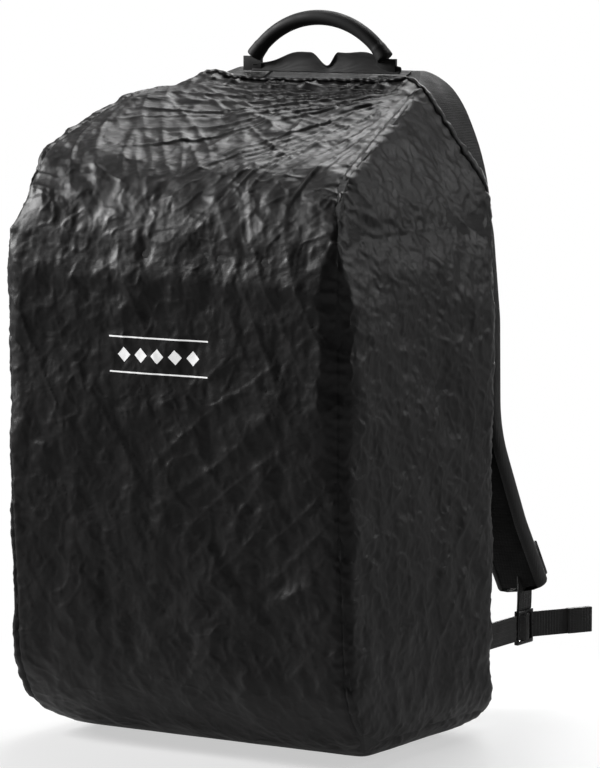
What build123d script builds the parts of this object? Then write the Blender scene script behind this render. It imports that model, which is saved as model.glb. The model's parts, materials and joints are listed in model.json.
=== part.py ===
from build123d import *
import math
import os

# Photo backpack wearing a rain cover, millimetres.
# +Z is up, the harness side faces +Y and the front faces -Y.
# The origin is the centre of the width on the ground, 125 mm in front of the back face.

# Outer form of the covered pack
HALF_WIDTH = 150
FRONT_Y = -122
BACK_Y = 125
FRONT_FOOT_Y = -104
TOP_FRONT_Z = 415
TOP_BACK_Z = 508
TOP_HALF_WIDTH = 91
TAPER_START_Z = 390
SHOULDER_Z = 511
FRONT_CORNER_R = 22
BACK_CORNER_R = 40
FRONT_FOOT_R = 80
BACK_FOOT_R = 65
FOOT_SIDE_R = 38
CREST_R = 18
BROW_R = 90
FRONT_BEND_R = 400
TAPER_R = 300
SHOULDER_R = 80

# Layers, counted inwards from the outer form
COVER_T = 1.2
PACK_SKIN = 1.6
WALL_T = 8.0
POCKET_T = 2.0
LINER_GAP = 0.4
SIDE_LAP = 0.5
BASE_TOP_Z = 42

# Rain cover seams and hem
SEAM_INSET = 7
HEM_WIDTH = 10
HEM_HALF_OPENING = 128
HEM_LOW_Z = 34
HEM_CREST_Y = 80
BASE_SEAM_Z = 14

# Rear door
DOOR_HALF = 106
DOOR_LOW_Z = 74
DOOR_TOP_Z = 450
DOOR_CORNER_R = 24
DOOR_GAP = 1.5
DOOR_FACE_Y = BACK_Y - PACK_SKIN
DOOR_FOAM_T = 5.9
SHEET_T = 1.5
LINER_T = 4.0

# Back padding and harness
PAD_T = 13
YOKE_T = 7.6
STRAP_T = 12
STRAP_TOP_WIDTH = 66
STRAP_LOW_WIDTH = 40
STRAP_TOP_X = 55
STRAP_SPLAY = 9.5
STRAP_PIVOT = (139.5, 446)
STRAP_KNEES = [(180, 380), (158, 215)]
STRAP_END = (210, 87)
STRAP_RADII = [60, 90]
WEB_WIDTH = 20
WEB_T = 1.6
LOCK_CENTRE = (117, 205, 62)
TAIL_ANGLE = 30
TAIL_LENGTH = 54
STOP_LENGTH = 22
HANG_OUT = 35

# Grab handle
HANDLE_Y = 90
HANDLE_HALF_SPAN = 58.5
HANDLE_FOOT_Z = 507
HANDLE_CROWN_Z = 538
HANDLE_R = 5.5

# Camera compartment
BULKHEAD_Y = -78
BULKHEAD_T = 5
DIVIDER_T = 8
DIVIDER_X = 47
DIVIDER_BACK_Y = 108
DIVIDER_TOP_Z = 410
SHELVES = {
    "left": (150, 290),
    "centre": (222,),
    "right": (128, 262),
}

BIG = 700


def rounded_face(corners, radii, inset):
    """Convex flat face inset from the corners' outline, each corner rounded to its own radius."""
    face = Sketch() + make_face(Polyline(*corners, close=True))
    if inset:
        face = Sketch() + offset(face, -inset, kind=Kind.INTERSECTION)
    for corner, radius in zip(corners, radii):
        vertex = face.vertices().sort_by_distance((*corner, 0))[0]
        face = fillet(vertex, radius - inset)
    return face


def outer_form(inset):
    """Convex solid of the covered pack, inset from the outside."""
    side = rounded_face(
        [(FRONT_FOOT_Y, 0), (BACK_Y, 0), (BACK_Y, TOP_BACK_Z), (FRONT_Y, TOP_FRONT_Z), (FRONT_Y + 1, 260)],
        [FRONT_FOOT_R, BACK_FOOT_R, CREST_R, BROW_R, FRONT_BEND_R], inset)
    front = rounded_face(
        [(-HALF_WIDTH, 0), (HALF_WIDTH, 0), (HALF_WIDTH, TAPER_START_Z), (TOP_HALF_WIDTH, SHOULDER_Z),
         (-TOP_HALF_WIDTH, SHOULDER_Z), (-HALF_WIDTH, TAPER_START_Z)],
        [FOOT_SIDE_R, FOOT_SIDE_R, TAPER_R, SHOULDER_R, SHOULDER_R, TAPER_R], inset)
    plan = rounded_face(
        [(-HALF_WIDTH, FRONT_Y), (HALF_WIDTH, FRONT_Y), (HALF_WIDTH, BACK_Y), (-HALF_WIDTH, BACK_Y)],
        [FRONT_CORNER_R, FRONT_CORNER_R, BACK_CORNER_R, BACK_CORNER_R], inset)
    solids = []
    for plane, face in ((Plane.YZ, side), (Plane.XZ, front), (Plane.XY, plan)):
        solids.append(extrude(plane * face, BIG, both=True))
    return solids[0] & solids[1] & solids[2]


def block(low, high):
    """Box between two corners."""
    size = [b - a for a, b in zip(low, high)]
    centre = [(a + b) / 2 for a, b in zip(low, high)]
    return Pos(*centre) * Box(*size)


def side_prism(inset):
    """Prism along Y whose sides follow the front outline, inset from it and running on above and below."""
    lean = (HALF_WIDTH - TOP_HALF_WIDTH) / (SHOULDER_Z - TAPER_START_Z)
    high_z = 600
    high_edge = HALF_WIDTH - lean * (high_z - TAPER_START_Z)
    far_r = 30
    face = rounded_face(
        [(-HALF_WIDTH, -BIG), (HALF_WIDTH, -BIG), (HALF_WIDTH, TAPER_START_Z), (high_edge, high_z),
         (-high_edge, high_z), (-HALF_WIDTH, TAPER_START_Z)],
        [far_r, far_r, TAPER_R, far_r, far_r, TAPER_R], inset)
    return extrude(Plane.XZ * face, BIG, both=True)


def rounded_plate(half_x, low_z, high_z, low_y, high_y, radius, centre_x=0):
    """Plate standing in the XZ plane with rounded corners."""
    height = high_z - low_z
    face = RectangleRounded(2 * half_x, height, radius)
    plane = Plane(origin=(centre_x, high_y, (low_z + high_z) / 2), x_dir=(1, 0, 0), z_dir=(0, -1, 0))
    return extrude(plane * face, high_y - low_y)


def hem_cut(margin):
    """Space behind the rain cover's rear opening, grown outwards by margin."""
    window = rounded_plate(HEM_HALF_OPENING + margin, HEM_LOW_Z - margin, BIG, 60, 200, 40)
    window = window & block((-BIG, 112, -BIG), (BIG, BIG, BIG))
    crest = extrude(Plane.YZ * make_face(Polyline(
        (HEM_CREST_Y - margin, BIG), (HEM_CREST_Y - margin, 470), (131 - margin, 385),
        (BIG, 385), (BIG, BIG), close=True)),
        BIG, both=True)
    return window + crest


def cover_parts():
    shell = outer_form(0) - outer_form(COVER_T)
    opened = shell - hem_cut(0)
    hem = opened & hem_cut(HEM_WIDTH)
    fabric = shell - hem_cut(HEM_WIDTH)
    middle = fabric & side_prism(SEAM_INSET)
    sides = fabric - side_prism(SEAM_INSET)
    return {
        "cover_front": middle - block((-BIG, -BIG, -BIG), (BIG, BIG, BASE_SEAM_Z)),
        "cover_base": middle & block((-BIG, -BIG, -BIG), (BIG, BIG, BASE_SEAM_Z)),
        "cover_gusset_left": sides & block((-BIG, -BIG, -BIG), (0, BIG, BIG)),
        "cover_gusset_right": sides & block((0, -BIG, -BIG), (BIG, BIG, BIG)),
        "cover_hem": hem,
    }


def pack_parts():
    outside = outer_form(PACK_SKIN)
    inside = outer_form(PACK_SKIN + WALL_T)
    between_sides = side_prism(PACK_SKIN + WALL_T + SIDE_LAP)
    walls = outside - inside
    strip = walls & between_sides
    sides = walls - between_sides
    pocket = (outside - outer_form(PACK_SKIN + POCKET_T)) & block((-118, -BIG, 70), (118, -60, 356))
    doorway = rounded_plate(DOOR_HALF + DOOR_GAP, DOOR_LOW_Z - DOOR_GAP, DOOR_TOP_Z + DOOR_GAP,
                            60, 200, DOOR_CORNER_R + DOOR_GAP)
    base_zone = block((-BIG, -BIG, -BIG), (BIG, BIG, BASE_TOP_Z))
    back_zone = block((-BIG, 92, BASE_TOP_Z), (BIG, BIG, BIG))
    top_zone = block((-BIG, -88, 395), (BIG, 92, BIG))
    parts = {
        "base_wall": strip & base_zone,
        "back_frame": (strip & back_zone) - doorway,
        "top_wall": strip & top_zone,
        "front_wall": strip - base_zone - back_zone - top_zone - pocket,
        "front_pocket": pocket,
        "side_wall_left": sides & block((-BIG, -BIG, -BIG), (0, BIG, BIG)),
        "side_wall_right": sides & block((0, -BIG, -BIG), (BIG, BIG, BIG)),
    }
    tab_layer = outer_form(0) - outside
    for name, side in (("left", -1), ("right", 1)):
        zone = Pos(side * 61, HANDLE_Y + 0.5, 500) * Box(30, 17, 60)
        parts[f"handle_anchor_{name}"] = tab_layer & zone
    return parts


def divider_parts():
    room = outer_form(PACK_SKIN + WALL_T + LINER_GAP)
    front_y = BULKHEAD_Y + BULKHEAD_T + LINER_GAP
    edge = HALF_WIDTH
    parts = {"bulkhead": room & block((-edge, BULKHEAD_Y, 0), (edge, BULKHEAD_Y + BULKHEAD_T, 430))}
    half = DIVIDER_T / 2
    for name, x in (("left", -DIVIDER_X), ("right", DIVIDER_X)):
        parts[f"divider_long_{name}"] = room & block(
            (x - half, front_y, 0), (x + half, DIVIDER_BACK_Y, DIVIDER_TOP_Z))
    inner = DIVIDER_X - half - LINER_GAP
    outer = DIVIDER_X + half + LINER_GAP
    columns = {"left": (-edge, -outer), "centre": (-inner, inner), "right": (outer, edge)}
    for column, heights in SHELVES.items():
        low_x, high_x = columns[column]
        for number, z in enumerate(heights, 1):
            parts[f"divider_short_{column}_{number}"] = room & block(
                (low_x, front_y, z - half), (high_x, DIVIDER_BACK_Y, z + half))
    return parts


def door_parts():
    foam_y = DOOR_FACE_Y - DOOR_FOAM_T
    sheet_y = foam_y - SHEET_T
    liner_y = sheet_y - LINER_T
    liner = rounded_plate(DOOR_HALF - 1, DOOR_LOW_Z + 1, DOOR_TOP_Z - 1, liner_y, sheet_y, DOOR_CORNER_R)
    parts = {
        "door_panel": rounded_plate(DOOR_HALF, DOOR_LOW_Z, DOOR_TOP_Z, foam_y, DOOR_FACE_Y, DOOR_CORNER_R),
        "frame_sheet": rounded_plate(DOOR_HALF - 8, DOOR_LOW_Z + 8, DOOR_TOP_Z - 8, sheet_y, foam_y, 18),
    }
    for name, x in (("left", -48), ("right", 48)):
        stay = block((x - 7, sheet_y - 2.5, DOOR_LOW_Z + 20), (x + 7, sheet_y, DOOR_TOP_Z - 20))
        parts[f"stay_{name}"] = stay
        liner -= stay
    parts["door_liner"] = liner
    pads = {
        "back_pad_left": (-50, 38, 190, 388),
        "back_pad_right": (50, 38, 190, 388),
        "lumbar_pad": (0, 82, 96, 176),
    }
    for name, (x, half_x, low_z, high_z) in pads.items():
        pad = rounded_plate(half_x, low_z, high_z, DOOR_FACE_Y, DOOR_FACE_Y + PAD_T, 16, x)
        parts[name] = fillet(pad.faces().sort_by(Axis.Y)[-1].edges(), 5)
    yoke = rounded_plate(84, 398, DOOR_TOP_Z - 3, DOOR_FACE_Y, DOOR_FACE_Y + YOKE_T, 14)
    parts["yoke"] = fillet(yoke.faces().sort_by(Axis.Y)[-1].edges(), 2)
    for name, side in (("left", -1), ("right", 1)):
        wing = Polyline((side * 88, 100), (side * 98, 112), (side * 128, 74), (side * 128, 50),
                        (side * 110, 50), close=True)
        plane = Plane(origin=(0, 128.4, 0), x_dir=(1, 0, 0), z_dir=(0, -1, 0))
        foot = block((min(side * 88, side * 98), DOOR_FACE_Y, 94), (max(side * 88, side * 98), 126.4, 106))
        parts[f"anchor_wing_{name}"] = extrude(plane * make_face(wing), 2.2) + foot
    ring = rounded_plate(DOOR_HALF + 4, DOOR_LOW_Z - 4, DOOR_TOP_Z + 30, 123.7, 125.1, DOOR_CORNER_R)
    ring -= rounded_plate(DOOR_HALF - 2, DOOR_LOW_Z + 2, DOOR_TOP_Z + 40, 120, 130, DOOR_CORNER_R)
    parts["zip_chain"] = ring & block((-BIG, 0, 0), (BIG, 200, DOOR_TOP_Z - 20))
    return parts


def zip_parts():
    parts = {}
    pin_y = 129.4
    pin_z = DOOR_LOW_Z - 10
    for name, x in (("left", -9), ("right", 9)):
        slider = Pos(x, 127.1, DOOR_LOW_Z - 1) * Box(8.4, 3.4, 12)
        for ear_x in (x - 3.7, x + 3.7):
            slider += Pos(ear_x, pin_y - 0.9, pin_z + 2) * Box(1, 3.4, 8)
        slider += Pos(x, pin_y, pin_z) * Rot(0, 90, 0) * Cylinder(0.8, 7)
        pull = Pos(x, pin_y, pin_z) * Rot(0, 90, 0) * Cylinder(1.9, 5.4)
        pull += Pos(x, pin_y, pin_z - 15) * Box(5.4, 1.6, 28)
        pull -= Pos(x, pin_y, pin_z) * Rot(0, 90, 0) * Cylinder(0.86, 9)
        parts[f"zip_slider_{name}"] = slider
        parts[f"zip_pull_{name}"] = pull
    return parts


def strap_band(low, high, half_width):
    """Band along the strap's side outline, between two offsets from its middle line."""
    line = FilletPolyline(STRAP_PIVOT, *STRAP_KNEES, STRAP_END, radius=STRAP_RADII)
    corner = Vector(*STRAP_PIVOT)
    first = (Vector(*STRAP_KNEES[0]) - corner).normalized()
    across = Vector(-first.Y, first.X)
    start = corner + across * low
    end = corner + across * high
    section = Plane.YZ * Line((start.X, start.Y), (end.X, end.Y))
    path = Plane.YZ * line
    ribbon = sweep(section, path)
    return extrude(ribbon, half_width, dir=(1, 0, 0), both=True)


def strap_place(side):
    """Moves a strap from the middle plane to its own side and splays its lower end outwards."""
    y, z = STRAP_PIVOT
    return Pos(side * STRAP_TOP_X, y, z) * Rot(0, -side * STRAP_SPLAY, 0) * Pos(0, -y, -z)


def strap_parts(name, side):
    place = strap_place(side)
    taper = extrude(Plane.XZ * make_face(Polyline(
        (-STRAP_TOP_WIDTH / 2, 470), (STRAP_TOP_WIDTH / 2, 470), (STRAP_TOP_WIDTH / 2, 300),
        (STRAP_LOW_WIDTH / 2, 140), (STRAP_LOW_WIDTH / 2, 60), (-STRAP_LOW_WIDTH / 2, 60),
        (-STRAP_LOW_WIDTH / 2, 140), (-STRAP_TOP_WIDTH / 2, 300), close=True)), BIG, both=True)
    half = STRAP_T / 2
    pad = strap_band(-half, half, STRAP_TOP_WIDTH / 2) & taper
    web = strap_band(half + 0.2, half + 0.2 + WEB_T, WEB_WIDTH / 2)
    web = web & block((-BIG, -BIG, 90), (BIG, BIG, 420))
    parts = {f"strap_pad_{name}": place * pad, f"strap_webbing_{name}": place * web}
    x, y, z = LOCK_CENTRE
    lock = Pos(side * x, y, z) * Box(4, 24, 27)
    for slot_y in (y - 6.5, y + 6.5):
        lock -= Pos(side * x, slot_y, z) * Box(10, 7, 21)
    parts[f"ladder_lock_{name}"] = lock
    parts[f"strap_tab_{name}"] = Pos(side * x, y, z + 17) * Box(WEB_WIDTH, 5, 6)
    run_start = 129
    run_end = y - 12.4
    parts[f"lower_webbing_{name}"] = block(
        (side * x - WEB_T / 2, run_start, z - WEB_WIDTH / 2), (side * x + WEB_T / 2, run_end, z + WEB_WIDTH / 2))
    tail = Pos(0, TAIL_LENGTH / 2, 0) * Box(WEB_T, TAIL_LENGTH, WEB_WIDTH)
    tail += Pos(0, TAIL_LENGTH - STOP_LENGTH / 2, 0) * Box(3 * WEB_T, STOP_LENGTH, WEB_WIDTH)
    parts[f"strap_tail_{name}"] = Pos(side * x, y + 13.4, z) * Rot(0, 0, -side * TAIL_ANGLE) * tail
    return parts


def sternum_parts(name, side):
    place = strap_place(side)
    (knee_y, knee_z) = STRAP_KNEES[1]
    lean = math.degrees(math.atan2(STRAP_KNEES[0][0] - knee_y, STRAP_KNEES[0][1] - knee_z))
    slider_z = 262
    clear = STRAP_T / 2 + 0.2 + WEB_T + 0.3 + 3
    slider_y = knee_y + (slider_z - knee_z) * math.tan(math.radians(lean)) + clear / math.cos(math.radians(lean))
    slider = Pos(0, slider_y, slider_z) * Rot(-lean, 0, 0) * Box(30, 6, 13)
    pin_y, pin_z = slider_y + 0.5, slider_z - 11
    for ear_x in (-13, 13):
        slider += Pos(ear_x, pin_y - 0.6, pin_z + 3) * Box(3, 5, 10)
    slider += Pos(0, pin_y, pin_z) * Rot(0, 90, 0) * Cylinder(1.5, 26)
    loop = Pos(0, pin_y, pin_z) * Rot(0, 90, 0) * Cylinder(3, WEB_WIDTH)
    end_y, end_z = pin_y + HANG_OUT, 122
    hang = FilletPolyline((pin_y, pin_z), (pin_y + 3, 206), (end_y, end_z), radius=40)
    section = Plane.YZ * Line((pin_y - WEB_T / 2, pin_z), (pin_y + WEB_T / 2, pin_z))
    ribbon = extrude(sweep(section, Plane.YZ * hang), WEB_WIDTH / 2, dir=(1, 0, 0), both=True)
    webbing = loop + ribbon
    webbing -= Pos(0, pin_y, pin_z) * Rot(0, 90, 0) * Cylinder(1.58, 60)
    angle = math.degrees(math.atan2(HANG_OUT - 3, 206 - end_z))
    frame = Box(26, 8, 30)
    frame -= Pos(0, 0, 3) * Box(15, 12, 12)
    buckle = Pos(0, end_y + 8, end_z - 14.5) * Rot(angle, 0, 0) * frame
    return {
        f"sternum_slider_{name}": place * slider,
        f"sternum_webbing_{name}": place * webbing,
        f"sternum_buckle_{name}": place * buckle,
    }


def handle_parts():
    y = HANDLE_Y
    arch = ThreePointArc((-HANDLE_HALF_SPAN, HANDLE_FOOT_Z), (0, HANDLE_CROWN_Z), (HANDLE_HALF_SPAN, HANDLE_FOOT_Z))
    path = Plane(origin=(0, y, 0), x_dir=(1, 0, 0), z_dir=(0, -1, 0)) * arch
    grip = sweep(Plane(origin=path @ 0, z_dir=path % 0) * Circle(HANDLE_R), path)
    parts = {"handle_grip": grip}
    for name, side in (("left", -1), ("right", 1)):
        tab = Pos(side * 1.5, 0, -5) * Box(16, 3, 11)
        tab = Pos(side * HANDLE_HALF_SPAN, y, HANDLE_FOOT_Z) * tab
        parts[f"handle_tab_{name}"] = tab - grip
    return parts


def main():
    os.makedirs("parts", exist_ok=True)
    parts = {}
    parts.update(cover_parts())
    parts.update(pack_parts())
    parts.update(divider_parts())
    parts.update(door_parts())
    parts.update(zip_parts())
    parts.update(handle_parts())
    for name, side in (("left", -1), ("right", 1)):
        parts.update(strap_parts(name, side))
        parts.update(sternum_parts(name, side))
    for name, shape in parts.items():
        export_step(shape, f"parts/{name}.step")
    print(len(parts), "sub-parts")


main()
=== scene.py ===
import json
import math
from contextlib import contextmanager

import bmesh
import bpy
import numpy as np
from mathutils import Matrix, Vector


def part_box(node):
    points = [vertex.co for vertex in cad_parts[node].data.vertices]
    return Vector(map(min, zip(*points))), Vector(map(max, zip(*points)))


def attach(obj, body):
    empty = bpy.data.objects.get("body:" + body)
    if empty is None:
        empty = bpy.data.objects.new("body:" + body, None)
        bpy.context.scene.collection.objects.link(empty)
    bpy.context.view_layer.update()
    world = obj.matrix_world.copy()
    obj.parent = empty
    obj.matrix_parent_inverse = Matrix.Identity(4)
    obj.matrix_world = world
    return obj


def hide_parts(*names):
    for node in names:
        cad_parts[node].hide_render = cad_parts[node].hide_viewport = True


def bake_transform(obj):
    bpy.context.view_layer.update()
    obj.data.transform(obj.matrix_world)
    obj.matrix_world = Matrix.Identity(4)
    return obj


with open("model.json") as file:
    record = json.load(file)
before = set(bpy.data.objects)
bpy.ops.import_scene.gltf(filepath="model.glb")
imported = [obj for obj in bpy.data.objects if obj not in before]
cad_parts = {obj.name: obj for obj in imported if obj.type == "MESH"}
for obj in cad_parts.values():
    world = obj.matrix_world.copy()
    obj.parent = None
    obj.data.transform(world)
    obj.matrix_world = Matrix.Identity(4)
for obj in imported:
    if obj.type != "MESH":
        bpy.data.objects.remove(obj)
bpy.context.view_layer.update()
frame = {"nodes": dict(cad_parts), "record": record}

MM = 0.001

# The view: azimuth and elevation round the pack's middle, in degrees, and the lens in millimetres
VIEW_AZIMUTH = 32.0
VIEW_ELEVATION = 6.5
VIEW_DISTANCE = 3.2
VIEW_LENS = 199.5
SENSOR_WIDTH = 36
VIEW_TARGET = Vector((0.025, 0.022, 0.265))

# The rain cover: cloth grid, seams, and the rear opening with its elastic hem
CLOTH_CELL = 5.5 * MM
CREASE_SEED = 7
SEAM_HALF = 143 * MM
TAPER_START = 388 * MM
TAPER_LEAN = 0.47
BASE_SEAM = 12 * MM
HEM_HALF_OPENING = 128 * MM
HEM_LOW = 34 * MM
HEM_BACK_Y = 112 * MM
HEM_CREST_Y = 80 * MM
HEM_CREST_FOOT_Z = 385 * MM
HEM_CREST_TOP_Z = 470 * MM
HEM_CREST_LEAN = 51 * MM
HEM_CORNER = 40 * MM
HEM_REACH = 200 * MM
HEM_HALF_WIDTH = 4.2 * MM
HEM_HALF_THICKNESS = 2.0 * MM
HEM_SEAM_GAP = 9.0
OPENING_CENTRE_Z = 270 * MM
CREST_RISE = 13 * MM
HANDLE_CLEARANCE = 66 * MM
SLACK = 24 * MM
FLOOR_GAP = 0.2 * MM

# The shoulder straps' middle line, as in the frame, and where each is hung
STRAP_TOP_X = 55 * MM
STRAP_SPLAY = math.radians(9.5)
STRAP_PIVOT = (139.5 * MM, 446 * MM)
STRAP_LINE = [STRAP_PIVOT, (180 * MM, 380 * MM), (158 * MM, 215 * MM), (210 * MM, 87 * MM)]
STRAP_RADII = [60 * MM, 90 * MM]
STRAP_T = 12 * MM
STRAP_TOP_WIDTH = 66 * MM
STRAP_LOW_WIDTH = 40 * MM
BINDING_LAP = 5 * MM
SIDES = (("left", -1), ("right", 1))

# The print on the front panel, and the painted glow that lightens it
PRINT_X = -7 * MM
PRINT_Z = 297 * MM
PRINT_HALF_WIDTH = 43 * MM
PRINT_HALF_HEIGHT = 13 * MM
PRINT_RULE = 1.1 * MM
PRINT_DIAMONDS = 5
PRINT_PITCH = 15 * MM
PRINT_DIAMOND = 5.5 * MM
PRINT_PAINTED_GLOW = 0.55
PRINT_FRONT_Y = -80 * MM

# The pads, the grip and the stitches
PAD_FRAMES = 20
GRIP_RADIUS = 5.7 * MM
GRIP_RINGS = 97
GRIP_AROUND = 28
FLAP_FOOT_Z = 496 * MM
FLAP_TOP_Z = 501 * MM
FLAP_RISE = 11 * MM
STITCH_PITCH = 3 * MM
STITCH_RADIUS = 0.28 * MM

# Sockets of a Mix node in colour mode, which share their names with others of the node
MIX_FIRST, MIX_SECOND, MIX_RESULT = 6, 7, 2

# Light, in strength of glow
WHITE = (1, 1, 1, 1)
WORLD_LIGHT = 0.065
FLOOR_LIGHT = 0.26
FLOOR_LEAST_GLOW = 0.55


# ---------------------------------------------------------------- noise on arrays of points

def lattice_hash(cell, seed):
    """Whole-number hash of integer lattice points, as values from 0 to 1."""
    x, y, z = (cell[..., i].astype(np.int64) for i in range(3))
    h = (x * 73856093) ^ (y * 19349663) ^ (z * 83492791) ^ (seed * 2654435761)
    h = (h ^ (h >> 13)) * 1274126177
    h = h ^ (h >> 16)
    return (h & 0xFFFFFF) / float(0xFFFFFF)


def smooth_noise(points, scale, seed):
    """Gradient noise from -1 to 1 at points, with features about scale metres across."""
    p = points / scale
    cell = np.floor(p).astype(np.int64)
    f = p - cell
    w = f * f * f * (f * (f * 6 - 15) + 10)
    total = np.zeros(len(p))
    for corner in range(8):
        offset = np.array([(corner >> i) & 1 for i in range(3)])
        at = cell + offset
        angle = lattice_hash(at, seed) * 2 * np.pi
        height = lattice_hash(at, seed + 101) * 2 - 1
        ring = np.sqrt(np.maximum(1 - height * height, 0))
        gradient = np.stack([ring * np.cos(angle), ring * np.sin(angle), height], -1)
        value = ((f - offset) * gradient).sum(-1)
        weight = np.prod(np.where(offset == 1, w, 1 - w), -1)
        total += value * weight
    return total * 1.6


def crease_field(points, scale, seed, warp=0.35):
    """Random heights from -1 to 1 joined by flat facets, with straight creases between them."""
    turn = np.linalg.qr(np.random.RandomState(seed).normal(size=(3, 3)))[0]
    shift = np.stack([smooth_noise(points, scale * 1.9, seed + 70 + k) for k in range(3)], -1)
    p = (points / scale + shift * warp) @ turn
    cell = np.floor(p).astype(np.int64)
    f = p - cell
    order = np.argsort(-f, axis=1)
    ranked = np.take_along_axis(f, order, 1)
    weights = [1 - ranked[:, 0], ranked[:, 0] - ranked[:, 1], ranked[:, 1] - ranked[:, 2], ranked[:, 2]]
    total = weights[0] * lattice_hash(cell, seed)
    rows = np.arange(len(p))
    for k in range(3):
        cell[rows, order[:, k]] += 1
        total += weights[k + 1] * lattice_hash(cell, seed)
    return total * 2 - 1


def ridges(points, scale, seed, warp=0.6):
    """Crisp creases from 0 to 1: sharp ridge lines with hollows between them."""
    shift = np.stack([smooth_noise(points, scale * 1.7, seed + 50 + k) for k in range(3)], -1)
    n = smooth_noise(points + shift * scale * warp, scale, seed)
    return 1 - np.minimum(np.abs(n) * 2.2, 1)


def step(low, high, x):
    """0 below low, 1 above high, smooth between."""
    t = np.clip((x - low) / (high - low), 0, 1)
    return t * t * (3 - 2 * t)


def rise_mm(low, high, x):
    """The same between two places in millimetres."""
    return step(low * MM, high * MM, x)


# ---------------------------------------------------------------- mesh helpers

def link(obj):
    bpy.context.scene.collection.objects.link(obj)
    return obj


def mesh_object(name, verts, faces):
    data = bpy.data.meshes.new(name)
    data.from_pydata([tuple(v) for v in verts], [], faces)
    data.update()
    data.polygons.foreach_set("use_smooth", [True] * len(data.polygons))
    return link(bpy.data.objects.new(name, data))


def read(items, name):
    """One whole number of every loop or face, as an array."""
    values = np.zeros(len(items), dtype=np.int64)
    items.foreach_get(name, values)
    return values


def vectors(obj, name):
    """One vector of every vertex, as rows of three."""
    values = np.zeros(len(obj.data.vertices) * 3)
    obj.data.vertices.foreach_get(name, values)
    return values.reshape(-1, 3)


def coords(obj):
    return vectors(obj, "co")


def normals(obj):
    return vectors(obj, "normal")


def set_coords(obj, co):
    obj.data.vertices.foreach_set("co", co.ravel())
    obj.data.update()


@contextmanager
def edited(obj):
    """The object's mesh opened for editing, and written back afterwards."""
    mesh = bmesh.new()
    mesh.from_mesh(obj.data)
    yield mesh
    mesh.to_mesh(obj.data)
    mesh.free()


def sweep_faces(rings, size, mirrored=False):
    """Faces of a form swept through rings of size points each, with a cap at either end."""
    faces = []
    for k in range(rings - 1):
        for m in range(size):
            a, b = k * size + m, k * size + (m + 1) % size
            faces.append((a, b, b + size, a + size))
    first, last = tuple(range(size)), tuple(range((rings - 1) * size, rings * size))
    return faces + ([first, last[::-1]] if mirrored else [first[::-1], last])


def mark_seam(obj, gap):
    """Stores each vertex's distance from the nearest seam, in millimetres, for the painted seam shade in the
    cloth's material.
    """
    seam_gap = obj.data.attributes.new("seam_gap", "FLOAT", "POINT")
    seam_gap.data.foreach_set("value", gap)


def box(node):
    """The low and high corners of a CAD node's box, as arrays."""
    low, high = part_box(node)
    return np.array(low), np.array(high)


def apply_modifiers(obj):
    """Replaces obj's mesh by its evaluated mesh and drops the modifiers."""
    graph = bpy.context.evaluated_depsgraph_get()
    data = bpy.data.meshes.new_from_object(obj.evaluated_get(graph))
    old = obj.data
    obj.modifiers.clear()
    obj.data = data
    bpy.data.meshes.remove(old)
    return obj


def subdivide(obj, levels):
    modifier = obj.modifiers.new("subdivide", "SUBSURF")
    modifier.levels = levels
    modifier.render_levels = levels
    return apply_modifiers(obj)


def voxel(obj, size):
    modifier = obj.modifiers.new("voxel", "REMESH")
    modifier.mode = "VOXEL"
    modifier.voxel_size = size
    modifier.use_smooth_shade = True
    return apply_modifiers(obj)


# ---------------------------------------------------------------- materials

def add_node(tree, kind, links=None, values=None):
    """A new shader node, with its inputs linked to sockets or set to values."""
    node = tree.nodes.new("ShaderNode" + kind)
    for name, socket in (links or {}).items():
        tree.links.new(socket, node.inputs[name])
    for name, value in (values or {}).items():
        node.inputs[name].default_value = value
    return node


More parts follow.
